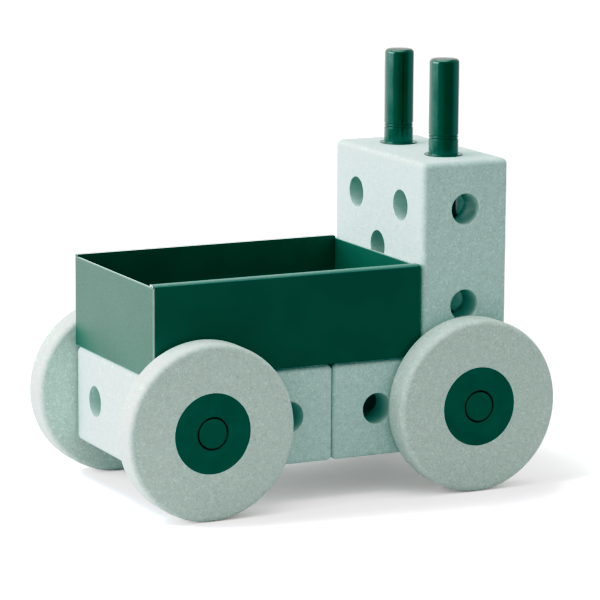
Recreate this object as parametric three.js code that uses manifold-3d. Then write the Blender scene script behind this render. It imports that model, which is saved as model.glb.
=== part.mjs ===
// Ride-size toy vehicle put together from a foam building-block kit.
// Three perforated foam blocks make the chassis and the cab tower, plastic pegs hold four foam wheels
// and stand up as two stacks, and an open board box sits on the chassis as the load bed.
// Millimetres, +Z up. Origin on the floor under the middle. +X runs from the load-bed end, which is the
// vehicle's front, to the tower end. The vehicle's left side is -Y.

import * as THREE from "three";
import { RoundedBoxGeometry } from "three/addons/geometries/RoundedBoxGeometry.js";
import { mergeVertices } from "three/addons/utils/BufferGeometryUtils.js";
import Module from "manifold-3d";

const wasm = await Module();
wasm.setup();

// ---------- driving dimensions ----------

const MODULE = 200; // kit module: a block is one module square and half a module thick
const HALF_MODULE = MODULE / 2;
const CELL = MODULE / 4; // distance from a block's middle to its hole centres
const BLOCK_CLEARANCE = 0.2; // each block face sits this far inside its module plane
const BLOCK_SIDE = MODULE - 2 * BLOCK_CLEARANCE;
const BLOCK_THICKNESS = HALF_MODULE - 2 * BLOCK_CLEARANCE;
const BLOCK_EDGE_RADIUS = 6;
const BLOCK_EDGE_STEPS = 2;
const HOLE_RADIUS = 16.2;
const HOLE_SIDES = 16;
const CUT_OVERRUN = 10; // how far a cutting rod runs past each face

const WHEEL_RADIUS = 90;
const WHEEL_THICKNESS = 32.4;
const WHEEL_EDGE_RADIUS = 5.5;
const WHEEL_EDGE_STEPS = 2;
const WHEEL_INNER_FACE = 102.6; // distance of a wheel's inner face from the middle plane
const WHEEL_BORE_RADIUS = 20.4;
const WHEEL_SIDES = 32;
const GROUND_CLEARANCE = 40;

const HUB_RADIUS = 40.6;
const HUB_DISC_THICKNESS = 3;
const HUB_SLEEVE_RADIUS = 20;
const HUB_BORE_RADIUS = 16.6;
const HUB_EDGE_CHAMFER = 0.8;
const HUB_SIDES = 24;
const FIT_GAP = 0.3; // gap between pieces that touch

const PEG_RADIUS = 15.5;
const PEG_FLANGE_RADIUS = 20;
const PEG_FLANGE_THICKNESS = 1;
const PEG_LONG_END = 99.4;
const PEG_SHORT_END = 33.6;
const PEG_TIP_RADIUS = 4;
const PEG_TIP_STEPS = 2;
const PEG_TIP_CROWN = 0.8;
const PEG_SHORT_CHAMFER = 1;
const PEG_GROOVE_PLACE = 18; // middle of the snap groove, from the flange
const PEG_GROOVE_HALF = 2.6;
const PEG_GROOVE_DEPTH = 0.9;
const PEG_BEAD_HALF = 0.9;
const PEG_SIDES = 16;

const JOINING_PEG_HALF_LENGTH = 33;
const JOINING_PEG_CHAMFER = 1.5;
const JOINING_PEG_SIDES = 16;

const BOX_LENGTH = 299.4;
const BOX_WIDTH = 202.4;
const BOX_PANEL_HEIGHT = 93.9; // end panels, from the box's underside
const BOX_WALL_HEIGHT = 96.7; // the folded side walls stand a little higher
const BOX_BOARD = 2; // thickness of the board
const BOX_WALL_THICKNESS = 7; // a side wall is the board folded double
const BOX_FOLD_RADIUS = 2.4;
const BOX_FOLD_STEPS = 4;

// ---------- places worked out from them ----------

const CHASSIS_MIDDLE_Z = GROUND_CLEARANCE + HALF_MODULE / 2;
const CHASSIS_TOP = GROUND_CLEARANCE + HALF_MODULE;
const TOWER_MIDDLE_X = MODULE - HALF_MODULE / 2;
const TOWER_MIDDLE_Z = CHASSIS_TOP + HALF_MODULE;
const TOWER_TOP = CHASSIS_TOP + MODULE - BLOCK_CLEARANCE;
const AXLE_X = MODULE - CELL;
const BOX_FRONT_X = -MODULE;
const BOX_BOTTOM_Z = CHASSIS_TOP + FIT_GAP;
const PEG_SEAT = HALF_MODULE - BLOCK_CLEARANCE + FIT_GAP; // inner side of an axle peg's flange

// ---------- materials ----------

const SURFACES = {
  foam: { color: 0xa9beb5, roughness: 0.92, metalness: 0 },
  plastic: { color: 0x0a4636, roughness: 0.35, metalness: 0 },
  board: { color: 0x0b4a3a, roughness: 0.5, metalness: 0 },
};

function surface(kind) {
  return new THREE.MeshStandardMaterial(SURFACES[kind]);
}

// ---------- geometry helpers ----------

/** A closed three.js geometry as a solid that can be joined and cut. */
function solidOf(geometry) {
  const plain = geometry.clone();
  plain.deleteAttribute("normal");
  plain.deleteAttribute("uv");
  const merged = mergeVertices(plain, 1e-4);
  return new wasm.Manifold(
    new wasm.Mesh({
      numProp: 3,
      vertProperties: merged.attributes.position.array,
      triVerts: new Uint32Array(merged.index.array),
    }),
  );
}

/** The solid's surface as a three.js geometry. */
function geometryOf(solid) {
  const mesh = solid.getMesh();
  const geometry = new THREE.BufferGeometry();
  geometry.setAttribute("position", new THREE.BufferAttribute(mesh.vertProperties, 3));
  geometry.setIndex(new THREE.BufferAttribute(mesh.triVerts, 1));
  geometry.computeVertexNormals();
  return geometry;
}

/** A round bar of the given length along an axis ("x", "y" or "z"), centred on a point. */
function rodAlong(axis, radius, length, sides, middle) {
  const rod = new THREE.CylinderGeometry(radius, radius, length, sides);
  if (axis === "x") {
    rod.rotateZ(Math.PI / 2);
  }
  if (axis === "z") {
    rod.rotateX(Math.PI / 2);
  }
  return rod.translate(middle.x, middle.y, middle.z);
}

/** Points of an arc in a radius-height profile, from one angle to another. */
function arcPoints(centreRadius, centreHeight, radius, from, to, steps) {
  const points = [];
  for (let i = 0; i <= steps; i += 1) {
    const angle = from + ((to - from) * i) / steps;
    const out = centreRadius + radius * Math.cos(angle);
    points.push(new THREE.Vector2(out, centreHeight + radius * Math.sin(angle)));
  }
  return points;
}

/** A turned piece whose axis is Z, from radius-height points listed upwards. */
function turned(points, sides) {
  return new THREE.LatheGeometry(points, sides).rotateX(Math.PI / 2);
}

/** A named mesh. */
function piece(name, geometry, kind) {
  const mesh = new THREE.Mesh(geometry, surface(kind));
  mesh.name = name;
  return mesh;
}

// ---------- foam blocks ----------

/** Block lying flat: five holes through the square faces, two through each pair of narrow sides. */
function blockGeometry() {
  const body = new RoundedBoxGeometry(
    BLOCK_SIDE,
    BLOCK_SIDE,
    BLOCK_THICKNESS,
    BLOCK_EDGE_STEPS,
    BLOCK_EDGE_RADIUS,
  );
  const through = HALF_MODULE + 2 * CUT_OVERRUN;
  const across = MODULE + 2 * CUT_OVERRUN;
  const rods = [rodAlong("z", HOLE_RADIUS, through, HOLE_SIDES, new THREE.Vector3())];
  for (const side of [-CELL, CELL]) {
    rods.push(rodAlong("x", HOLE_RADIUS, across, HOLE_SIDES, new THREE.Vector3(0, side, 0)));
    rods.push(rodAlong("y", HOLE_RADIUS, across, HOLE_SIDES, new THREE.Vector3(side, 0, 0)));
    for (const other of [-CELL, CELL]) {
      rods.push(rodAlong("z", HOLE_RADIUS, through, HOLE_SIDES, new THREE.Vector3(side, other, 0)));
    }
  }
  const perforated = rods.reduce((solid, rod) => solid.subtract(solidOf(rod)), solidOf(body));
  return geometryOf(perforated);
}

function makeBlocks() {
  const group = new THREE.Group();
  const shape = blockGeometry();
  const front = piece("base_block_front", shape, "foam");
  front.position.set(-HALF_MODULE, 0, CHASSIS_MIDDLE_Z);
  const rear = piece("base_block_rear", shape, "foam");
  rear.position.set(HALF_MODULE, 0, CHASSIS_MIDDLE_Z);
  const tower = piece("tower_block", shape, "foam");
  tower.rotation.y = Math.PI / 2;
  tower.position.set(TOWER_MIDDLE_X, 0, TOWER_MIDDLE_Z);
  group.add(front, rear, tower);
  return group;
}

// ---------- pegs ----------

/** Radius-height points of a peg's long end, from the flange's upper side at height 0 up to the tip. */
function longEndPoints() {
  const groove = PEG_GROOVE_PLACE;
  const grooveRadius = PEG_RADIUS - PEG_GROOVE_DEPTH;
  const tipHeight = PEG_LONG_END - PEG_TIP_CROWN - PEG_TIP_RADIUS;
  const tipCentre = PEG_RADIUS - PEG_TIP_RADIUS;
  return [
    new THREE.Vector2(PEG_RADIUS, 0),
    new THREE.Vector2(PEG_RADIUS, groove - PEG_GROOVE_HALF),
    new THREE.Vector2(grooveRadius, groove - PEG_BEAD_HALF),
    new THREE.Vector2(PEG_RADIUS, groove),
    new THREE.Vector2(grooveRadius, groove + PEG_BEAD_HALF),
    new THREE.Vector2(PEG_RADIUS, groove + PEG_GROOVE_HALF),
    ...arcPoints(tipCentre, tipHeight, PEG_TIP_RADIUS, 0, Math.PI / 2, PEG_TIP_STEPS),
    new THREE.Vector2(0, PEG_LONG_END),
  ];
}

/** Points of the end that lies below the flange, listed upwards. */
function shortEndPoints() {
  return [
    new THREE.Vector2(0, -PEG_SHORT_END),
    new THREE.Vector2(PEG_RADIUS - PEG_SHORT_CHAMFER, -PEG_SHORT_END),
    new THREE.Vector2(PEG_RADIUS, PEG_SHORT_CHAMFER - PEG_SHORT_END),
    new THREE.Vector2(PEG_RADIUS, 0),
  ];
}

/** Kit peg, axis along Z: a lower end, a thin flange from height 0 and a long upper end. */
function flangedPegGeometry(lowerEnd) {
  const flange = PEG_FLANGE_THICKNESS;
  const profile = [
    ...lowerEnd,
    new THREE.Vector2(PEG_FLANGE_RADIUS, 0),
    new THREE.Vector2(PEG_FLANGE_RADIUS, flange),
    ...longEndPoints().map((point) => new THREE.Vector2(point.x, point.y + flange)),
  ];
  return turned(profile, PEG_SIDES);
}

/** Axle peg: its short end carries a wheel and its long end goes into a block. */
function axlePegGeometry() {
  return flangedPegGeometry(shortEndPoints());
}

/** Stack peg: both ends are long, one deep in the tower block and one above it. */
function stackPegGeometry() {
  const mirrored = longEndPoints().reverse();
  return flangedPegGeometry(mirrored.map((point) => new THREE.Vector2(point.x, -point.y)));
}

/** Short double-ended peg that joins two blocks, axis along Z and centred. */
function joiningPegGeometry() {
  const half = JOINING_PEG_HALF_LENGTH;
  const profile = [
    new THREE.Vector2(0, -half),
    new THREE.Vector2(PEG_RADIUS - JOINING_PEG_CHAMFER, -half),
    new THREE.Vector2(PEG_RADIUS, JOINING_PEG_CHAMFER - half),
    new THREE.Vector2(PEG_RADIUS, half - JOINING_PEG_CHAMFER),
    new THREE.Vector2(PEG_RADIUS - JOINING_PEG_CHAMFER, half),
    new THREE.Vector2(0, half),
  ];
  return turned(profile, JOINING_PEG_SIDES);
}

function makeStackAndJoiningPegs() {
  const group = new THREE.Group();
  const long = stackPegGeometry();
  const joining = joiningPegGeometry();
  for (const [side, y] of [["left", -CELL], ["right", CELL]]) {
    const stack = piece(`stack_peg_${side}`, long, "plastic");
    stack.position.set(TOWER_MIDDLE_X, y, TOWER_TOP + FIT_GAP);
    const upright = piece(`tower_joining_peg_${side}`, joining, "plastic");
    upright.position.set(TOWER_MIDDLE_X, y, CHASSIS_TOP);
    const level = piece(`base_joining_peg_${side}`, joining, "plastic");
    level.rotation.y = Math.PI / 2;
    level.position.set(0, y, CHASSIS_MIDDLE_Z);
    group.add(stack, upright, level);
  }
  return group;
}

// ---------- wheels ----------

/** Foam wheel from height 0, its inner face, with a bore and a recess for the hub in each face. */
function wheelFoamGeometry() {
  const recessRadius = HUB_RADIUS + FIT_GAP;
  const recess = HUB_DISC_THICKNESS + FIT_GAP;
  const rim = WHEEL_RADIUS - WHEEL_EDGE_RADIUS;
  const upper = WHEEL_THICKNESS - WHEEL_EDGE_RADIUS;
  const steps = WHEEL_EDGE_STEPS;
  const profile = [
    new THREE.Vector2(WHEEL_BORE_RADIUS, recess),
    new THREE.Vector2(recessRadius, recess),
    new THREE.Vector2(recessRadius, 0),
    ...arcPoints(rim, WHEEL_EDGE_RADIUS, WHEEL_EDGE_RADIUS, -Math.PI / 2, 0, steps),
    ...arcPoints(rim, upper, WHEEL_EDGE_RADIUS, 0, Math.PI / 2, steps),
    new THREE.Vector2(recessRadius, WHEEL_THICKNESS),
    new THREE.Vector2(recessRadius, WHEEL_THICKNESS - recess),
    new THREE.Vector2(WHEEL_BORE_RADIUS, WHEEL_THICKNESS - recess),
    new THREE.Vector2(WHEEL_BORE_RADIUS, recess),
  ];
  return turned(profile, WHEEL_SIDES);
}

/** Hub: the visible disc with the bearing sleeve that runs back through the wheel. */
function hubGeometry() {
  const disc = WHEEL_THICKNESS - HUB_DISC_THICKNESS;
  const profile = [
    new THREE.Vector2(HUB_BORE_RADIUS, 0),
    new THREE.Vector2(HUB_SLEEVE_RADIUS, 0),
    new THREE.Vector2(HUB_SLEEVE_RADIUS, disc),
    new THREE.Vector2(HUB_RADIUS, disc),
    new THREE.Vector2(HUB_RADIUS, WHEEL_THICKNESS - HUB_EDGE_CHAMFER),
    new THREE.Vector2(HUB_RADIUS - HUB_EDGE_CHAMFER, WHEEL_THICKNESS),
    new THREE.Vector2(HUB_BORE_RADIUS, WHEEL_THICKNESS),
    new THREE.Vector2(HUB_BORE_RADIUS, 0),
  ];
  return turned(profile, HUB_SIDES);
}

/** Retaining ring that snaps on the sleeve at the wheel's inner face. */
function hubRingGeometry() {
  const inner = HUB_SLEEVE_RADIUS + FIT_GAP;
  const profile = [
    new THREE.Vector2(inner, 0),
    new THREE.Vector2(HUB_RADIUS, 0),
    new THREE.Vector2(HUB_RADIUS, HUB_DISC_THICKNESS),
    new THREE.Vector2(inner, HUB_DISC_THICKNESS),
    new THREE.Vector2(inner, 0),
  ];
  return turned(profile, HUB_SIDES);
}

/** One wheel with its axle peg. The group's +Z is turned to point away from the vehicle. */
function makeWheel(corner, x, side, shapes) {
  const group = new THREE.Group();
  const foam = piece(`wheel_foam_${corner}`, shapes.foam, "foam");
  const hub = piece(`wheel_hub_${corner}`, shapes.hub, "plastic");
  const ring = piece(`hub_ring_${corner}`, shapes.ring, "plastic");
  for (const part of [foam, hub, ring]) {
    part.position.z = WHEEL_INNER_FACE;
  }
  const peg = piece(`axle_peg_${corner}`, shapes.peg, "plastic");
  peg.rotation.x = Math.PI;
  peg.position.z = PEG_SEAT + PEG_FLANGE_THICKNESS;
  group.add(foam, hub, ring, peg);
  group.rotation.x = (-side * Math.PI) / 2;
  group.position.set(x, 0, CHASSIS_MIDDLE_Z);
  return group;
}

function makeWheels() {
  const group = new THREE.Group();
  const shapes = {
    foam: wheelFoamGeometry(),
    hub: hubGeometry(),
    ring: hubRingGeometry(),
    peg: axlePegGeometry(),
  };
  for (const [end, x] of [["front", -AXLE_X], ["rear", AXLE_X]]) {
    for (const [name, side] of [["left", -1], ["right", 1]]) {
      group.add(makeWheel(`${end}_${name}`, x, side, shapes));
    }
  }
  return group;
}

// ---------- load box ----------

/** A flat board, given its extents along X, Y and Z, standing on its lowest face. */
function boardGeometry(alongX, alongY, alongZ) {
  return new THREE.BoxGeometry(alongX, alongY, alongZ).translate(0, 0, alongZ / 2);
}

/** Section of a folded side wall, outer side at 0 and inner side at the wall thickness. */
function wallSection(foldedDouble) {
  const section = new THREE.Shape();
  const top = BOX_WALL_HEIGHT;
  const lower = foldedDouble ? 0 : BOX_PANEL_HEIGHT + FIT_GAP;
  section.moveTo(0, lower);
  section.lineTo(0, top - BOX_FOLD_RADIUS);
  section.absarc(BOX_FOLD_RADIUS, top - BOX_FOLD_RADIUS, BOX_FOLD_RADIUS, Math.PI, Math.PI / 2, true);
  section.lineTo(BOX_WALL_THICKNESS, top);
  section.lineTo(BOX_WALL_THICKNESS, lower);
  if (foldedDouble) {
    section.lineTo(BOX_WALL_THICKNESS - BOX_BOARD, lower);
    section.lineTo(BOX_WALL_THICKNESS - BOX_BOARD, BOX_PANEL_HEIGHT);
    section.lineTo(BOX_BOARD, BOX_PANEL_HEIGHT);
    section.lineTo(BOX_BOARD, lower);
  }
  section.closePath();
  return section;
}

/** A section in (inwards, up) drawn out along X, centred in X. */
function drawnAlongX(section, length) {
  const settings = { depth: length, bevelEnabled: false, curveSegments: BOX_FOLD_STEPS, steps: 1 };
  const drawn = new THREE.ExtrudeGeometry(section, settings);
  drawn.translate(0, 0, -length / 2);
  drawn.rotateX(Math.PI / 2);
  return drawn.rotateZ(Math.PI / 2);
}

/** Side wall: doubled board between the end panels, with a cap that runs on over their top edges. */
function sideWallGeometry() {
  const between = BOX_LENGTH - 2 * (BOX_BOARD + FIT_GAP);
  const doubled = solidOf(drawnAlongX(wallSection(true), between));
  const cap = solidOf(drawnAlongX(wallSection(false), BOX_LENGTH));
  return geometryOf(doubled.add(cap));
}

function makeBox() {
  const group = new THREE.Group();
  const endX = (BOX_LENGTH - BOX_BOARD) / 2;
  const inside = BOX_WIDTH - 2 * (BOX_WALL_THICKNESS + FIT_GAP);
  const between = BOX_LENGTH - 2 * (BOX_BOARD + FIT_GAP);
  group.add(piece("box_bottom", boardGeometry(between, inside, BOX_BOARD), "board"));
  for (const [end, direction] of [["front", -1], ["rear", 1]]) {
    const panel = piece(
      `box_end_${end}`,
      boardGeometry(BOX_BOARD, BOX_WIDTH, BOX_PANEL_HEIGHT),
      "board",
    );
    panel.position.x = direction * endX;
    group.add(panel);
  }
  const wall = sideWallGeometry();
  for (const [side, turn] of [["left", 0], ["right", Math.PI]]) {
    const placed = new THREE.Group();
    const mesh = piece(`box_wall_${side}`, wall, "board");
    mesh.position.y = -BOX_WIDTH / 2;
    placed.rotation.z = turn;
    placed.add(mesh);
    group.add(placed);
  }
  group.position.set(BOX_FRONT_X + BOX_LENGTH / 2, 0, BOX_BOTTOM_Z);
  return group;
}

// ---------- the vehicle ----------

const vehicle = new THREE.Group();
vehicle.add(makeBlocks(), makeStackAndJoiningPegs(), makeWheels(), makeBox());

export default vehicle;
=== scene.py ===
import math

import bmesh
import bpy
from mathutils import Matrix, Vector


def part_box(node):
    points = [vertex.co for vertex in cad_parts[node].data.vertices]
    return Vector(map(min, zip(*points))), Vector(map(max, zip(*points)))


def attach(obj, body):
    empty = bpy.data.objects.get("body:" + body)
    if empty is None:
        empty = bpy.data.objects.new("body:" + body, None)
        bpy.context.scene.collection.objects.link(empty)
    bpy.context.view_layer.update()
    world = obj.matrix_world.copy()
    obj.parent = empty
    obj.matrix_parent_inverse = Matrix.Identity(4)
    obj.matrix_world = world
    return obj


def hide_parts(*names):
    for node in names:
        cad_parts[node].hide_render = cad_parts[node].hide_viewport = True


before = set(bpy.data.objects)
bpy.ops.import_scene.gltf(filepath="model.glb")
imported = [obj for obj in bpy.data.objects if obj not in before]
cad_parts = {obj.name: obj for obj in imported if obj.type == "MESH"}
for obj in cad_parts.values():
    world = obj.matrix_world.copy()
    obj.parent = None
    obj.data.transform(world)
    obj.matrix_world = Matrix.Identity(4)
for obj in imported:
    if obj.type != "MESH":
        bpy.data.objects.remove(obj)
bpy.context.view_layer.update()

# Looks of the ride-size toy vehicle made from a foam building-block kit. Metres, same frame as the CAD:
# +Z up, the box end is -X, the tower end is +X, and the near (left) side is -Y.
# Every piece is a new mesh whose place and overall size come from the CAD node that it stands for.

MM = 0.001

# ---------- sizes ----------

CELL = 50 * MM  # distance from a block's middle to its hole centres
BLOCK_FILLET = 6 * MM
BLOCK_FILLET_STEPS = 8
HOLE_RADIUS = 16.2 * MM
HOLE_LIP = 0.5 * MM
HOLE_LIP_STEPS = 5
HOLE_LIP_TURN = math.radians(80)  # the lip runs out into the face at this angle
HOLE_SIDES = 72
HOLE_LIP_RUNOUT = 0.4 * MM  # the lip's last slope runs on this far outwards, past the face
OVERRUN = 10 * MM  # a cutter reaches this far past what it cuts
BORE_SHADE_FADE = 7 * MM  # painted shade on a bore's wall reaches its full depth this far in

WHEEL_FILLET = 5.5 * MM
WHEEL_BORE = 20.4 * MM
WHEEL_SIDES = 144
HUB_RADIUS = 40.6 * MM
HUB_DISC = 3 * MM
HUB_SLEEVE = 20 * MM
HUB_BORE = 16.6 * MM
HUB_MOUTH = 0.4 * MM  # the bore's extra radius through the disc
HUB_SIDES = 96
FIT_GAP = 0.3 * MM

PEG_RADIUS = 15.5 * MM
PEG_FLANGE_RADIUS = 20 * MM
PEG_FLANGE = 1 * MM
PEG_SHORT_END = 33.6 * MM
PEG_LONG_END = 99.4 * MM
PEG_TIP_RADIUS = 4 * MM
PEG_CROWN = 0.8 * MM
PEG_FILLET = 0.35 * MM
PEG_NECK = PEG_RADIUS - 0.9 * MM  # radius at the bottom of the snap groove
PEG_BEAD = PEG_RADIUS - 0.1 * MM  # radius of the bead in the middle of the groove
PEG_SHORT_RADIUS = PEG_RADIUS - 0.45 * MM
PEG_SIDES = 72
JOINING_PEG_FILLET = 1.5 * MM
JOINING_PEG_SIDES = 64
PEG_GROOVE = 18 * MM  # middle of the snap groove, from the flange

BOARD_SKIN = 0.45 * MM  # the laminate's share of each side of a cut edge
LEAF = 1.6 * MM  # each leaf of a folded wall
FOLD_RADIUS = 3 * MM
WALL_FOOT = 1.6 * MM  # the walls end this far above the bottom board's underside
CORNER_RADIUS = 4.5 * MM  # at the rear end of each folded wall, seen from the side
INNER_RIM = 0.4 * MM  # bevel of a folded wall's inner skin
SKIN_INSET = 1.2 * MM  # a board's wear fades out this far from its edges

SMOOTH_BELOW = math.radians(32)
NEAR = 0.01 * MM  # two places closer than this are the same
MERGE = 0.001 * MM  # vertices closer than this are merged after a cut


# ---------- mesh helpers ----------


def filleted(corners, closed=False, steps=6):
    """Corners (a, b, radius) as a line of (a, b, wear), each one rounded. Wear is 1 in mid-corner."""
    line = []
    last = len(corners) - 1
    for i, (a, b, radius) in enumerate(corners):
        here = Vector((a, b))
        if not radius or (not closed and i in (0, last)):
            line.append((a, b, 0.0))
            continue
        back = (Vector(corners[i - 1][:2]) - here).normalized()
        on = (Vector(corners[(i + 1) % len(corners)][:2]) - here).normalized()
        half = back.angle(on) / 2
        centre = here + (back + on).normalized() * (radius / math.sin(half))
        start = here + back * (radius / math.tan(half)) - centre
        end = here + on * (radius / math.tan(half)) - centre
        turn = start.angle(end)
        for k in range(steps + 1):
            t = k / steps
            arm = (math.sin((1 - t) * turn) * start + math.sin(t * turn) * end) / math.sin(turn)
            line.append((*(centre + arm), math.sin(math.pi * t)))
    return line


def new_bmesh():
    bm = bmesh.new()
    return bm, bm.verts.layers.float.new("wear_and_sheen")


def turned(line, origin, axis, segments, closed=False):
    """A line of (radius, height, wear) turned about an axis through origin."""
    bm, wear_layer = new_bmesh()
    axis = Vector(axis)
    across = axis.orthogonal().normalized()
    up = axis.cross(across)
    rings = []
    for radius, height, wear_and_sheen in line:
        middle = Vector(origin) + axis * height
        ring = []
        for k in range(segments if radius > 0 else 1):
            angle = 2 * math.pi * k / segments
            vert = bm.verts.new(middle + (across * math.cos(angle) + up * math.sin(angle)) * radius)
            vert[wear_layer] = wear_and_sheen
            ring.append(vert)
        rings.append(ring)
    pairs = list(zip(rings, rings[1:])) + ([(rings[-1], rings[0])] if closed else [])
    for low, high in pairs:
        for k in range(segments):
            n = (k + 1) % segments
            corners = [low[k % len(low)], low[n % len(low)], high[n % len(high)], high[k % len(high)]]
            distinct = list(dict.fromkeys(corners))
            if len(distinct) > 2:
                bm.faces.new(distinct)
    bmesh.ops.recalc_face_normals(bm, faces=bm.faces[:])
    return bm


def box_bmesh(low, high):
    bm, _ = new_bmesh()
    bmesh.ops.create_cube(bm, size=1)
    low, high = Vector(low), Vector(high)
    for vert in bm.verts:
        vert.co = Vector((low[i] + high[i]) / 2 + vert.co[i] * (high[i] - low[i]) for i in range(3))
    return bm


def bevel(bm, edges, radius, segments):
    return bmesh.ops.bevel(
        bm,
        geom=edges,
        offset=radius,
        offset_type="OFFSET",
        segments=segments,
        profile=0.5,
        affect="EDGES",
        clamp_overlap=True,
    )


def edges_where(bm, test):
    """Edges both of whose ends pass the test."""
    return [e for e in bm.edges if all(test(v.co) for v in e.verts)]


def plain_object(name, bm):
    mesh = bpy.data.meshes.new(name)
    bm.to_mesh(mesh)
    bm.free()
    obj = bpy.data.objects.new(name, mesh)
    bpy.context.scene.collection.objects.link(obj)
    return obj


def cut(bm, cutters):
    """The bmesh with each cutter bmesh taken away in turn."""
    body = plain_object("cut_body", bm)
    tools = [plain_object("cut_tool", cutter) for cutter in cutters]
    for tool in tools:
        modifier = body.modifiers.new("cut", "BOOLEAN")
        modifier.operation = "DIFFERENCE"
        modifier.solver = "MANIFOLD"
        modifier.object = tool
    graph = bpy.context.evaluated_depsgraph_get()
    result = bpy.data.meshes.new_from_object(body.evaluated_get(graph))
    made = bmesh.new()
    made.from_mesh(result)
    for used in [body, *tools]:
        used_mesh = used.data
        bpy.data.objects.remove(used)
        bpy.data.meshes.remove(used_mesh)
    bpy.data.meshes.remove(result)
    bmesh.ops.remove_doubles(made, verts=made.verts[:], dist=MERGE)
    bmesh.ops.dissolve_degenerate(made, edges=made.edges[:], dist=MERGE)
    return made


def add_piece(name, bm, node, body, materials, pick=None):
    """The bmesh as a finished piece that stands for a CAD node. pick(face) is its material's number."""
    if pick:
        for face in bm.faces:
            face.material_index = pick(face)
    obj = plain_object(name, bm)
    for material in materials:
        obj.data.materials.append(material)
    obj.data.shade_smooth()
    obj.data.set_sharp_from_angle(angle=SMOOTH_BELOW)
    weighted = obj.modifiers.new("weighted_normals", "WEIGHTED_NORMAL")
    weighted.keep_sharp = True
    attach(obj, body)
    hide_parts(node)
    return obj


# ---------- material helpers ----------


class Net:
    """A material's node tree, with a principled shader at its end."""

    def __init__(self, name, **sockets):
        self.material = bpy.data.materials.new(name)
        self.material.use_nodes = True
        self.tree = self.material.node_tree
        self.tree.nodes.clear()
        self.shader = self.add("BsdfPrincipled", **sockets)
        output = self.add("OutputMaterial")
        self.tree.links.new(self.shader.outputs[0], output.inputs["Surface"])
        self.coordinates = self.add("TexCoord").outputs["Object"]

    def put(self, socket, value):
        if isinstance(value, bpy.types.NodeSocket):
            self.tree.links.new(value, socket)
        else:
            socket.default_value = value

    def add(self, kind, settings=None, **sockets):
        node = self.tree.nodes.new("ShaderNode" + kind)
        for key, value in (settings or {}).items():
            setattr(node, key, value)
        for key, value in sockets.items():
            self.put(node.inputs[key.replace("_", " ")], value)
        return node

    def place(self, stretch=(1, 1, 1), shift=(0, 0, 0)):
        return self.add("Mapping", Vector=self.coordinates, Scale=stretch, Location=shift).outputs[0]

    def noise(self, size, detail=2.0, roughness=0.5, stretch=(1, 1, 1), shift=(0, 0, 0)):
        """Soft noise from 0 to 1 whose features are about size metres wide."""
        where = self.place(stretch, shift)
        node = self.add("TexNoise", Vector=where, Scale=1 / size, Detail=detail, Roughness=roughness)
        return node.outputs["Fac"]

    def cells(self, size, shift=(0, 0, 0)):
        """(distance from a cell's middle, the cell's random colour), cells about size metres wide."""
        node = self.add("TexVoronoi", Vector=self.place(shift=shift), Scale=1 / size)
        return node.outputs["Distance"], node.outputs["Color"]

    def math(self, operation, a, b=0.0):
        node = self.add("Math", {"operation": operation})
        self.put(node.inputs[0], a)
        self.put(node.inputs[1], b)
        return node.outputs[0]

    def span(self, value, low, high, to_low=0.0, to_high=1.0):
        """value, where low to high becomes to_low to to_high, smoothly."""
        ends = {"From_Min": low, "From_Max": high, "To_Min": to_low, "To_Max": to_high}
        node = self.add("MapRange", {"interpolation_type": "SMOOTHSTEP"}, Value=value, **ends)
        return node.outputs[0]

    def mix(self, share, first, second):
        node = self.add("Mix", {"data_type": "RGBA"})
        self.put(node.inputs[0], share)
        self.put(node.inputs[6], first)
        self.put(node.inputs[7], second)
        return node.outputs[2]

    def channel(self, colour, which):
        return self.add("SeparateColor", Color=colour).outputs[which]

    def attribute(self, name):
        return self.add("Attribute", {"attribute_name": name}).outputs["Fac"]

    def bump(self, height, distance, strength=1.0):
        return self.add("Bump", Height=height, Distance=distance, Strength=strength).outputs[0]

    def finish(self, colour, roughness, normal):
        self.put(self.shader.inputs["Base Color"], colour)
        self.put(self.shader.inputs["Roughness"], roughness)
        self.put(self.shader.inputs["Normal"], normal)
        return self.material


def shade(colour, factor):
    return (*(min(1.0, c * factor) for c in colour), 1.0)


def tinted(colour, red, green, blue):
    return (colour[0] * red, colour[1] * green, colour[2] * blue, 1)


# ---------- materials ----------

GRANULE = 1.15 * MM  # sizes of the foam's features
CLUMP = 2.6 * MM
PORE = 3.4 * MM
BLOTCH = 7 * MM
PATCH = 9 * MM
CLOUD = 60 * MM
GRAIN = 0.8 * MM
BORE_PAINTED_SHADE = (0.95, 0.96, 0.93)  # painted shade in a bore: the share of the skin's colour that the bore's wall keeps, deep in
FOLD_SHEEN_AND_WEAR = (0.09, 0.26, 0.205, 1)  # paler teal painted on a wall's fold as a painted sheen, and along each board's edges
SCUFF_COLOUR = (0.30, 0.42, 0.37, 1)


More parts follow.
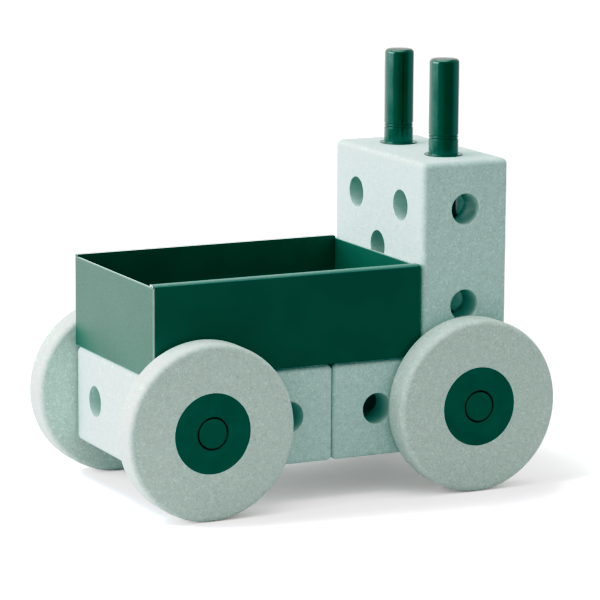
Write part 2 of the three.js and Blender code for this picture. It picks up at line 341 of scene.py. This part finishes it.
def foam(name, colour, shift):
    """Moulded closed-cell foam: a matte skin of fine granules, with pale flecks and pin holes."""
    net = Net(name, Specular_IOR_Level=0.35, Sheen_Weight=0.12, Sheen_Roughness=0.5)
    net.shader.inputs["Sheen Tint"].default_value = (0.95, 1.0, 1.0, 1.0)
    _, granule = net.cells(GRANULE, shift)
    _, clump = net.cells(CLUMP, shift)
    pore_distance, pore = net.cells(PORE, shift)
    blotch = net.noise(BLOTCH, 3.0, 0.6, shift=shift)
    cloud = net.noise(CLOUD, 2.0, 0.5, shift=shift)
    grain = net.noise(GRAIN, 3.0, 0.65, shift=shift)
    base = net.mix(net.span(blotch, 0.36, 0.64), shade(colour, 0.95), shade(colour, 1.12))
    base = net.mix(net.span(grain, 0.3, 0.7, 0.0, 0.8), base, shade(colour, 0.84))
    warm_or_cool = net.mix(
        net.channel(granule, 0),
        tinted(colour, 1.09, 1.0, 0.99),
        tinted(colour, 0.93, 1.01, 1.02),
    )
    base = net.mix(0.4, base, warm_or_cool)
    light_granule = net.span(net.channel(granule, 1), 0.82, 0.96)
    base = net.mix(net.math("MULTIPLY", light_granule, 0.5), base, shade(colour, 1.45))
    light_clump = net.span(net.channel(clump, 1), 0.9, 0.97)
    base = net.mix(net.math("MULTIPLY", light_clump, 0.34), base, shade(colour, 1.4))
    dark_granule = net.span(net.channel(granule, 2), 0.8, 0.97)
    base = net.mix(net.math("MULTIPLY", dark_granule, 0.42), base, shade(colour, 0.55))
    base = net.mix(net.span(cloud, 0.3, 0.7, 0.0, 0.12), base, shade(colour, 0.92))
    # Pin holes: each pore is dented by the bump and painted darker, a painted shade inside the pore.
    pit = net.math(
        "MULTIPLY",
        net.span(pore_distance, 0.14, 0.05),
        net.span(net.channel(pore, 0), 0.94, 0.96),
    )
    base = net.mix(net.math("MULTIPLY", pit, 0.45), base, shade(colour, 0.45))
    rubbed = net.math("MULTIPLY", net.attribute("wear_and_sheen"), net.span(blotch, 0.35, 0.6, 0.02, 0.14))
    base = net.mix(rubbed, base, shade(colour, 1.25))
    # Painted shade: a bore's wall is painted darker the deeper it lies.
    depth = net.attribute("depth")
    base = net.mix(net.math("MULTIPLY", depth, 0.9), base, tinted(colour, *BORE_PAINTED_SHADE))
    roughness = net.span(net.noise(PATCH, 3.0, 0.6, shift=shift), 0.3, 0.7, 0.7, 0.86)
    relief = net.math("ADD", net.math("MULTIPLY", grain, 0.6), net.math("MULTIPLY", blotch, 0.5))
    relief = net.math("SUBTRACT", relief, net.math("MULTIPLY", pit, 1.2))
    return net.finish(base, roughness, net.bump(relief, 0.2 * MM, 0.7))


def plastic(name, colour, roughness_range, grain_depth, specular, shift, tint=(1, 1, 1, 1)):
    """Moulded plastic: almost even colour, fine texture, flow marks, hairline scratches, pale wear."""
    net = Net(name, Specular_IOR_Level=specular, Specular_Tint=tint)
    cloud = net.noise(24 * MM, 3.0, 0.55, shift=shift)
    flow = net.noise(6 * MM, 3.0, 0.6, stretch=(1, 1, 0.15), shift=shift)
    grain = net.noise(0.45 * MM, 2.0, 0.6, shift=shift)
    scratch = net.noise(1.1 * MM, 2.0, 0.7, stretch=(1.0, 0.06, 0.9), shift=shift)
    base = net.mix(net.span(cloud, 0.3, 0.7), shade(colour, 0.9), shade(colour, 1.1))
    base = net.mix(net.span(flow, 0.55, 0.75, 0.0, 0.18), base, shade(colour, 1.35))
    worn = net.math("MULTIPLY", net.attribute("wear_and_sheen"), net.span(grain, 0.35, 0.65, 0.15, 0.55))
    base = net.mix(worn, base, (colour[0] + 0.02, colour[1] * 1.5, colour[2] * 1.5, 1))
    marks = net.span(scratch, 0.62, 0.74)
    roughness = net.span(cloud, 0.25, 0.75, *roughness_range)
    roughness = net.math("ADD", roughness, net.math("MULTIPLY", marks, 0.07))
    relief = net.math("SUBTRACT", grain, net.math("MULTIPLY", marks, 0.4))
    return net.finish(base, roughness, net.bump(relief, grain_depth, 1.0))


def laminated_board(name, colour):
    """Laminated card: satin, with a faint fibre relief, scuffs, and a paler colour along folds and edges that
    is painted sheen on the folds.
    """
    net = Net(name, Specular_IOR_Level=0.5, Sheen_Weight=0.08, Sheen_Roughness=0.4)
    fibre = net.noise(1.6 * MM, 4.0, 0.65, stretch=(0.35, 0.35, 1.0))
    sheet = net.noise(45 * MM, 2.0, 0.5)
    speck = net.noise(0.6 * MM, 2.0, 0.5)
    base = net.mix(net.span(sheet, 0.3, 0.7), shade(colour, 0.93), shade(colour, 1.07))
    base = net.mix(net.span(fibre, 0.5, 0.8, 0.0, 0.15), base, shade(colour, 1.25))
    # Painted sheen: where the wear value is high, on a wall's fold and along a board's edges, the card is
    # painted paler.
    base = net.mix(net.math("MULTIPLY", net.attribute("wear_and_sheen"), 0.7), base, FOLD_SHEEN_AND_WEAR)
    scuff = net.math("MULTIPLY", net.attribute("wear_and_sheen"), net.span(speck, 0.5, 0.72, 0.0, 0.35))
    base = net.mix(scuff, base, SCUFF_COLOUR)
    roughness = net.span(fibre, 0.3, 0.7, 0.4, 0.5)
    relief = net.math("ADD", net.math("MULTIPLY", fibre, 0.6), net.math("MULTIPLY", speck, 0.3))
    return net.finish(base, roughness, net.bump(relief, 0.035 * MM, 0.7))


def raw_board(name, colour):
    """The pale cut edge of the card, with its plies and loose fibres."""
    net = Net(name, Specular_IOR_Level=0.3)
    plies = net.noise(0.5 * MM, 2.0, 0.5, stretch=(1.0, 1.0, 0.2))
    fibre = net.noise(0.9 * MM, 4.0, 0.7)
    base = net.mix(net.span(plies, 0.35, 0.65), shade(colour, 0.86), shade(colour, 1.05))
    base = net.mix(net.span(fibre, 0.55, 0.8, 0.0, 0.35), base, shade(colour, 0.7))
    return net.finish(base, net.span(fibre, 0.3, 0.7, 0.8, 0.95), net.bump(fibre, 0.12 * MM, 0.8))


BLOCK_FOAM = foam("block_foam", (0.455, 0.655, 0.60), (0, 0, 0))
WHEEL_FOAM = foam("wheel_foam", (0.482, 0.624, 0.563), (0.31, 0.17, 0.23))
PEG_PLASTIC = plastic(
    "peg_plastic", (0.0, 0.03, 0.008), (0.16, 0.24), 0.008 * MM, 1.0, (0, 0, 0), (0.55, 1.0, 0.93, 1.0)
)
PEG_SATIN = plastic("peg_satin", (0.0, 0.1, 0.064), (0.4, 0.5), 0.04 * MM, 0.2, (0.1, 0.3, 0))
HUB_PLASTIC = plastic("hub_plastic", (0.0, 0.098, 0.064), (0.42, 0.52), 0.05 * MM, 0.2, (0.2, 0.1, 0))
BOX_BOARD = laminated_board("box_board", (0.008, 0.077, 0.045))
RAW_BOARD = raw_board("raw_board", (0.60, 0.65, 0.61))


# ---------- foam blocks ----------


def flared_rod(middle, axis, half):
    """A cutting rod for a through hole in a block 2 x half thick, with a rounded lip at each face."""
    climb = HOLE_LIP * math.sin(HOLE_LIP_TURN)
    start = half - climb - 0.05 * MM
    # This ring is where a bore's painted shade reaches its full strength.
    line = [(HOLE_RADIUS, start - BORE_SHADE_FADE, 0)]
    for k in range(HOLE_LIP_STEPS + 1):
        angle = HOLE_LIP_TURN * k / HOLE_LIP_STEPS
        radius = HOLE_RADIUS + HOLE_LIP * (1 - math.cos(angle))
        height = start + HOLE_LIP * math.sin(angle)
        line.append((radius, height, 0))
    mouth = radius + HOLE_LIP_RUNOUT * math.tan(HOLE_LIP_TURN)
    line.append((mouth, height + HOLE_LIP_RUNOUT, 0))
    line.append((mouth, half + OVERRUN, 0))
    line.append((0, half + OVERRUN, 0))
    mirrored = [(r, -h, w) for r, h, w in reversed(line)]
    return turned(mirrored + line, middle, axis, HOLE_SIDES)


def block_wear(bm, low, high, holes):
    """Sets each vertex's wear, high on edges and hole lips, and its depth, high inside a bore, where the foam
    is painted darker as shade.
    """
    wear_layer = bm.verts.layers.float.get("wear_and_sheen") or bm.verts.layers.float.new("wear_and_sheen")
    depth_layer = bm.verts.layers.float.new("depth")
    centre, half = (low + high) / 2, (high - low) / 2
    lip = HOLE_LIP * 0.95
    for vert in bm.verts:
        out = vert.co - centre
        over = [max(0.0, abs(out[i]) - (half[i] - BLOCK_FILLET)) / BLOCK_FILLET for i in range(3)]
        wear_and_sheen = 2 * (over[0] * over[1] + over[1] * over[2] + over[2] * over[0])
        depth = 0.0
        for middle, axis, reach in holes:
            away = vert.co - middle
            along = away.dot(axis)
            radial = (away - axis * along).length - HOLE_RADIUS
            if abs(along) > reach - 3 * MM and -0.1 * MM < radial < 2 * lip:
                wear_and_sheen = max(wear_and_sheen, math.sin(math.pi * min(1.0, max(0.0, radial / lip))))
            if abs(radial) < 0.1 * MM:
                depth = max(depth, min(1.0, (reach - abs(along) - HOLE_LIP) / BORE_SHADE_FADE))
        vert[wear_layer] = min(1.0, wear_and_sheen)
        vert[depth_layer] = max(0.0, depth)


def add_block(name, node, body):
    low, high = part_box(node)
    centre, half = (low + high) / 2, (high - low) / 2
    thin = min(range(3), key=lambda i: half[i])
    wide = [i for i in range(3) if i != thin]
    unit = [Vector((i == 0, i == 1, i == 2)) for i in range(3)]
    holes = [(centre, unit[thin], half[thin])]
    for first, second in (wide, wide[::-1]):
        for side in (-CELL, CELL):
            holes.append((centre + unit[second] * side, unit[first], half[first]))
    for a in (-CELL, CELL):
        for b in (-CELL, CELL):
            holes.append((centre + unit[wide[0]] * a + unit[wide[1]] * b, unit[thin], half[thin]))
    bm = box_bmesh(low, high)
    bevel(bm, bm.edges[:], BLOCK_FILLET, BLOCK_FILLET_STEPS)
    made = cut(bm, [flared_rod(*hole) for hole in holes])
    block_wear(made, low, high, holes)
    block = add_piece(name, made, node, body, [BLOCK_FOAM])


add_block("foam_block_base_front", "base_block_front", "chassis")
add_block("foam_block_base_rear", "base_block_rear", "chassis")
add_block("foam_block_tower", "tower_block", "tower")


# ---------- pegs ----------


def long_end_corners():
    """(radius, height, fillet) of a peg's long end, from its flange at height 0 up to its tip."""
    slope = [(PEG_BEAD, 0.7 * MM), (PEG_NECK, 1.3 * MM), (PEG_NECK, 2.1 * MM), (PEG_RADIUS, 2.5 * MM)]
    below = [(radius, PEG_GROOVE - away, PEG_FILLET) for radius, away in reversed(slope)]
    above = [(radius, PEG_GROOVE + away, PEG_FILLET) for radius, away in slope]
    tip = [(PEG_RADIUS, PEG_LONG_END - PEG_CROWN, PEG_TIP_RADIUS), (0, PEG_LONG_END, 0)]
    return [(PEG_RADIUS, 0, PEG_FILLET), *below, *above, *tip]


def flanged_peg_line(two_long_ends):
    """(radius, height, wear) of a kit peg: its flange from height 0, a long end above, one end below."""
    if two_long_ends:
        corners = [(r, -h, fillet) for r, h, fillet in reversed(long_end_corners())]
    else:
        tip = [(0, -PEG_SHORT_END, 0), (PEG_SHORT_RADIUS, -PEG_SHORT_END, PEG_FILLET)]
        corners = [*tip, (PEG_RADIUS, 0, PEG_FILLET)]
    corners += [(PEG_FLANGE_RADIUS, height, PEG_FILLET) for height in (0, PEG_FLANGE)]
    corners += [(r, h + PEG_FLANGE, fillet) for r, h, fillet in long_end_corners()]
    return filleted(corners)


def joining_peg_line(half):
    rims = [(PEG_RADIUS, height, JOINING_PEG_FILLET) for height in (-half, half)]
    return filleted([(0, -half, 0), *rims, (0, half, 0)])


def add_flanged_peg(name, node, body, long_way, material, two_long_ends=False):
    """A peg placed by the tip of its long end. long_way is the direction from its flange to that tip."""
    low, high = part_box(node)
    axis = Vector(long_way)
    centre, half = (low + high) / 2, (high - low) / 2
    tip = centre + axis * abs(axis.dot(half))
    seat = tip - axis * (PEG_FLANGE + PEG_LONG_END)
    bm = turned(flanged_peg_line(two_long_ends), seat, axis, PEG_SIDES)
    return add_piece(name, bm, node, body, [material])


def add_joining_peg(name, node, axis):
    low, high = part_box(node)
    axis = Vector(axis)
    half = abs(axis.dot(high - low)) / 2
    bm = turned(joining_peg_line(half), (low + high) / 2, axis, JOINING_PEG_SIDES)
    return add_piece(name, bm, node, "chassis", [PEG_PLASTIC])


for side in ("left", "right"):
    stack = f"stack_{side}"
    add_flanged_peg(f"peg_stack_{side}", f"stack_peg_{side}", stack, (0, 0, 1), PEG_PLASTIC, True)
    add_joining_peg(f"peg_joining_tower_{side}", f"tower_joining_peg_{side}", (0, 0, 1))
    add_joining_peg(f"peg_joining_base_{side}", f"base_joining_peg_{side}", (1, 0, 0))


# ---------- wheels ----------


def wheel_line(radius, thickness):
    recess_radius, recess = HUB_RADIUS + FIT_GAP, HUB_DISC + FIT_GAP
    lip = 0.5 * MM
    corners = [
        (WHEEL_BORE, recess, 0),
        (recess_radius, recess, 0),
        (recess_radius, 0, lip),
        (radius, 0, WHEEL_FILLET),
        (radius, thickness, WHEEL_FILLET),
        (recess_radius, thickness, lip),
        (recess_radius, thickness - recess, 0),
        (WHEEL_BORE, thickness - recess, 0),
    ]
    return filleted(corners, closed=True, steps=8)


def hub_line(thickness):
    disc = thickness - HUB_DISC
    corners = [
        (HUB_BORE, 0, 0.3 * MM),
        (HUB_SLEEVE, 0, 0.5 * MM),
        (HUB_SLEEVE, disc, 0),
        (HUB_RADIUS, disc, 0.2 * MM),
        (HUB_RADIUS, thickness, 0.7 * MM),
        (HUB_BORE + HUB_MOUTH, thickness, 0.12 * MM),
        (HUB_BORE + HUB_MOUTH, thickness - HUB_DISC, 0),
        (HUB_BORE, thickness - HUB_DISC, 0),
    ]
    return filleted(corners, closed=True, steps=4)


def ring_line():
    inner = HUB_SLEEVE + FIT_GAP
    corners = [
        (inner, 0, 0.3 * MM),
        (HUB_RADIUS, 0, 0.6 * MM),
        (HUB_RADIUS, HUB_DISC, 0.2 * MM),
        (inner, HUB_DISC, 0.2 * MM),
    ]
    return filleted(corners, closed=True, steps=4)


def add_wheel(corner):
    low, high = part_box(f"wheel_foam_{corner}")
    side = -1 if "left" in corner else 1
    outward = Vector((0, side, 0))
    centre, half = (low + high) / 2, (high - low) / 2
    inner_face = centre - outward * half.y
    body = f"wheel_{corner}"
    thickness = 2 * half.y
    foam_bm = turned(wheel_line(half.z, thickness), inner_face, outward, WHEEL_SIDES, closed=True)
    foam_node = f"wheel_foam_{corner}"
    tyre = add_piece(f"wheel_tyre_{corner}", foam_bm, foam_node, body, [WHEEL_FOAM])
    hub_bm = turned(hub_line(thickness), inner_face, outward, HUB_SIDES, closed=True)
    add_piece(f"wheel_disc_{corner}", hub_bm, f"wheel_hub_{corner}", body, [HUB_PLASTIC])
    ring_bm = turned(ring_line(), inner_face, outward, HUB_SIDES, closed=True)
    add_piece(f"wheel_ring_{corner}", ring_bm, f"hub_ring_{corner}", body, [HUB_PLASTIC])
    add_flanged_peg(f"peg_axle_{corner}", f"axle_peg_{corner}", "chassis", -outward, PEG_SATIN)


for end in ("front", "rear"):
    for side in ("left", "right"):
        add_wheel(f"{end}_{side}")


# ---------- load box ----------


def add_board(name, node, skin_axis, narrow=0.0):
    """A flat board whose two skins face along skin_axis and whose cut edges are raw."""
    low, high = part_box(node)
    low.y += narrow
    high.y -= narrow
    bm = box_bmesh(low, high)
    bevel(bm, bm.edges[:], BOARD_SKIN, 2)
    skins = [f for f in bm.faces if abs(f.normal[skin_axis]) > 0.99]
    layer = bm.verts.layers.float["wear_and_sheen"]
    bmesh.ops.inset_individual(bm, faces=skins, thickness=SKIN_INSET)
    kept = {v for f in skins for v in f.verts}
    for vert in bm.verts:
        vert[layer] = 0.0 if vert in kept else 1.0

    def pick(face):
        across = [abs(face.normal[i]) for i in range(3) if i != skin_axis]
        return 1 if max(across) > 0.98 else 0

    return add_piece(name, bm, node, "box", [BOX_BOARD, RAW_BOARD], pick)


def add_folded_wall(name, node, side):
    """A side wall folded double over its top edge. side is -1 for the wall at -Y and 1 for the other."""
    low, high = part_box(node)
    length, thickness, height = high - low
    rear_panel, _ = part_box("box_end_rear")
    _, front_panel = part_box("box_end_front")
    over_panels = front_panel.z - low.z + FIT_GAP
    panel_back = front_panel.x - low.x + FIT_GAP
    panel_front = rear_panel.x - low.x - FIT_GAP

    def on_rear_top(place):
        return place.x > length - NEAR and place.z > height - NEAR

    def on_outline(place):
        return place.y < NEAR and (place.z > height - NEAR or place.x > length - CORNER_RADIUS - NEAR)

    def on_inner_skin(place):
        return place.y > thickness - NEAR

    def on_bottom(edge):
        return all(v.co.z < NEAR for v in edge.verts)

    def on_front_end(edge):
        return all(v.co.x < NEAR for v in edge.verts)

    def turns_outwards(edge):
        faces = edge.link_faces
        return len(faces) == 2 and abs(faces[0].normal.y - faces[1].normal.y) > 0.5

    # Built with its outer skin at y = 0 and its inner one at y = thickness, then placed.
    bm = box_bmesh((0, 0, 0), (length, thickness, height))
    bevel(bm, edges_where(bm, on_rear_top), CORNER_RADIUS, 8)
    outer = [e for e in edges_where(bm, on_outline) if not on_bottom(e) and turns_outwards(e)]
    bevel(bm, outer, FOLD_RADIUS, 6)
    inner = [e for e in edges_where(bm, on_inner_skin) if not on_bottom(e) and not on_front_end(e)]
    bevel(bm, inner, INNER_RIM, 2)
    # The fold's top gets a wear value of 1, so the card there is painted paler: a painted sheen along the
    # fold.
    layer = bm.verts.layers.float["wear_and_sheen"]
    for vert in bm.verts:
        on_fold = 0.02 * FOLD_RADIUS < vert.co.y < thickness - 0.45 * MM
        vert[layer] = 1.0 if on_fold and vert.co.z > height - CORNER_RADIUS / 2 else 0.0

    past = OVERRUN
    past_wall = thickness + past
    between_leaves = box_bmesh((-past, LEAF, -past), (panel_front - LEAF, thickness - LEAF, height - LEAF))
    front_panel_room = box_bmesh((-past, -past, -past), (panel_back, past_wall, over_panels))
    rear_panel_room = box_bmesh((panel_front, LEAF + FIT_GAP, -past), (length + past, past_wall, over_panels))
    foot = box_bmesh((-past, -past, -past), (length + past, past_wall, WALL_FOOT))
    made = cut(bm, [between_leaves, front_panel_room, rear_panel_room, foot])
    outer_skin = high.y if side > 0 else low.y
    for vert in made.verts:
        x, inward, up = vert.co
        vert.co = Vector((low.x + x, outer_skin - side * inward, low.z + up))
    bmesh.ops.recalc_face_normals(made, faces=made.faces[:])

    def pick(face):
        return 1 if face.normal.x < -0.9 or face.normal.z < -0.9 else 0

    return add_piece(name, made, node, "box", [BOX_BOARD, RAW_BOARD], pick)


add_board("board_bottom", "box_bottom", 2)
add_board("board_end_front", "box_end_front", 0)
add_board("board_end_rear", "box_end_rear", 0, narrow=LEAF + 2 * FIT_GAP)
add_folded_wall("board_wall_left", "box_wall_left", -1)
add_folded_wall("board_wall_right", "box_wall_right", 1)


# ---------- floor, light and camera ----------

FLOOR_RADIUS = 0.75
FLOOR_SIDES = 96
TONE_WHITE = 1.4  # scene light that prints as white
TONE = (  # scene light and its printed level: deep shadows, soft highlights, a clean white floor
    (0.0, 0.0),
    (0.02, 0.009),
    (0.05, 0.036),
    (0.12, 0.108),
    (0.26, 0.275),
    (0.42, 0.44),
    (0.6, 0.6),
    (0.8, 0.715),
    (1.0, 0.792),
    (1.2, 0.83),
    (1.3, 0.875),
    (1.4, 1.0),
)
RED_TONE = (  # a second curve for red alone, so that dark greens print without any
    (0.0, 0.0),
    (0.012, 0.0005),
    (0.028, 0.006),
    (0.05, 0.03),
    (0.09, 0.082),
    (0.14, 0.14),
    (1.0, 1.0),
)
FLOOR_SEEN = (1.4, 1.37, 1.38, 1)  # the floor as the camera sees it, like a retouched white sweep
FLOOR_LIFT = (0.11, 0.09, 0.092, 1)  # even light added to the floor that the camera sees
FLOOR_BOUNCE = (0.68, 0.68, 0.68, 1)  # the floor as it lights the vehicle

# The studio's glow by direction: (axis, from, to, glow at from, glow at to)
OVERHEAD = (2, 0.2, 1.0, 0.0, 0.4)
BEHIND = (1, 0.1, 0.85, 0.0, 1.6)
BEHIND_KEPT = (0, -0.1, 0.4, 1.0, 0.5)  # share of the glow behind that is left towards the right
LEFT = (0, -0.3, -0.95, 0.0, 0.3)
RIGHT = (0, 0.55, 0.9, 0.0, 0.5)
IN_FRONT = (1, 0.3, -0.3, 0.0, 0.27)
GLOW_COLOUR = (0.97, 1.0, 1.0, 1)
BACKDROP_SEEN = TONE_WHITE * 1.2

CAMERA_PLACE = (-1.45205, -2.99553, 0.81932)
CAMERA_LENS = 195.9
CAMERA_SENSOR = 36
CAMERA_AZIMUTH = math.radians(-26.02)  # off the near side, towards the box end
CAMERA_ELEVATION = math.radians(10.71)
CAMERA_ROLL = math.radians(0.33)


def add_floor():
    bm = bmesh.new()
    bmesh.ops.create_circle(bm, cap_ends=True, segments=FLOOR_SIDES, radius=FLOOR_RADIUS)
    floor = plain_object("floor", bm)
    material = bpy.data.materials.new("floor_paper")
    material.use_nodes = True
    tree = material.node_tree
    tree.nodes.clear()

    def shader(kind, colour):
        node = tree.nodes.new(kind)
        node.inputs["Color"].default_value = colour
        return node

    seen = shader("ShaderNodeBsdfDiffuse", FLOOR_SEEN)
    bounce = shader("ShaderNodeBsdfDiffuse", FLOOR_BOUNCE)
    lift = shader("ShaderNodeEmission", FLOOR_LIFT)
    lifted = tree.nodes.new("ShaderNodeAddShader")
    path = tree.nodes.new("ShaderNodeLightPath")
    choose = tree.nodes.new("ShaderNodeMixShader")
    output = tree.nodes.new("ShaderNodeOutputMaterial")
    tree.links.new(seen.outputs[0], lifted.inputs[0])
    tree.links.new(lift.outputs[0], lifted.inputs[1])
    tree.links.new(path.outputs["Is Camera Ray"], choose.inputs[0])
    tree.links.new(bounce.outputs[0], choose.inputs[1])
    tree.links.new(lifted.outputs[0], choose.inputs[2])
    tree.links.new(choose.outputs[0], output.inputs["Surface"])
    floor.data.materials.append(material)
    floor.visible_glossy = False


def add_area_light(name, place, target, size, power, colour):
    data = bpy.data.lights.new(name, "AREA")
    data.shape = "RECTANGLE"
    data.size, data.size_y = size
    data.energy = power
    data.color = colour
    obj = bpy.data.objects.new(name, data)
    obj.location = place
    obj.rotation_euler = (Vector(target) - Vector(place)).to_track_quat("-Z", "Y").to_euler()
    bpy.context.scene.collection.objects.link(obj)


def add_world():
    """A pale studio, brightest behind. The camera sees its backdrop as plain white."""
    world = bpy.data.worlds.new("studio")
    bpy.context.scene.world = world
    world.use_nodes = True
    tree = world.node_tree
    tree.nodes.clear()
    link = tree.links.new
    coordinates = tree.nodes.new("ShaderNodeTexCoord")
    split = tree.nodes.new("ShaderNodeSeparateXYZ")
    link(coordinates.outputs["Generated"], split.inputs[0])

    def term(axis, *ends):
        node = tree.nodes.new("ShaderNodeMapRange")
        node.interpolation_type = "SMOOTHSTEP"
        link(split.outputs[axis], node.inputs["Value"])
        for key, value in zip(("From Min", "From Max", "To Min", "To Max"), ends):
            node.inputs[key].default_value = value
        return node.outputs[0]

    def combine(operation, first, second):
        node = tree.nodes.new("ShaderNodeMath")
        node.operation = operation
        link(first, node.inputs[0])
        link(second, node.inputs[1])
        return node.outputs[0]

    glow = combine("MULTIPLY", term(*BEHIND), term(*BEHIND_KEPT))
    for part in (OVERHEAD, LEFT, RIGHT, IN_FRONT):
        glow = combine("ADD", glow, term(*part))
    lit = tree.nodes.new("ShaderNodeBackground")
    link(glow, lit.inputs["Strength"])
    lit.inputs["Color"].default_value = GLOW_COLOUR
    seen = tree.nodes.new("ShaderNodeBackground")
    seen.inputs["Color"].default_value = (1, 1, 1, 1)
    seen.inputs["Strength"].default_value = BACKDROP_SEEN
    path = tree.nodes.new("ShaderNodeLightPath")
    choose = tree.nodes.new("ShaderNodeMixShader")
    link(path.outputs["Is Camera Ray"], choose.inputs[0])
    link(lit.outputs[0], choose.inputs[1])
    link(seen.outputs[0], choose.inputs[2])
    output = tree.nodes.new("ShaderNodeOutputWorld")
    link(choose.outputs[0], output.inputs["Surface"])


def add_camera():
    data = bpy.data.cameras.new("camera")
    data.lens = CAMERA_LENS
    data.sensor_width = CAMERA_SENSOR
    level = math.cos(CAMERA_ELEVATION)
    ahead = Vector(
        (
            -math.sin(CAMERA_AZIMUTH) * level,
            math.cos(CAMERA_AZIMUTH) * level,
            -math.sin(CAMERA_ELEVATION),
        )
    )
    right = ahead.cross(Vector((0, 0, 1))).normalized()
    up = right.cross(ahead)
    across = right * math.cos(CAMERA_ROLL) + up * math.sin(CAMERA_ROLL)
    upright = up * math.cos(CAMERA_ROLL) - right * math.sin(CAMERA_ROLL)
    turn = Matrix((across, upright, -ahead)).transposed()
    camera = bpy.data.objects.new("camera", data)
    camera.matrix_world = Matrix.Translation(CAMERA_PLACE) @ turn.to_4x4()
    bpy.context.scene.collection.objects.link(camera)
    bpy.context.scene.camera = camera


def set_tone():
    settings = bpy.context.scene.view_settings
    settings.view_transform = "Standard"
    settings.use_curve_mapping = True
    mapping = settings.curve_mapping
    mapping.white_level = (TONE_WHITE,) * 3
    red, combined = mapping.curves[0], mapping.curves[3]
    for light, level in TONE[1:-1]:
        combined.points.new(light / TONE_WHITE, level)
    for light, level in RED_TONE[1:-1]:
        red.points.new(light, level)
    mapping.update()


add_floor()
add_area_light(
    "key_left",
    place=(-2.45, 0.45, 1.05),
    target=(0, 0.1, 0.2),
    size=(2.4, 1.8),
    power=77,
    colour=(1.03, 0.98, 1.05),
)
add_area_light(
    "top",
    place=(-0.1, 0.1, 2.0),
    target=(0, 0, 0),
    size=(1.6, 1.6),
    power=20,
    colour=(1.0, 1.0, 1.0),
)
add_world()
add_camera()
set_tone()
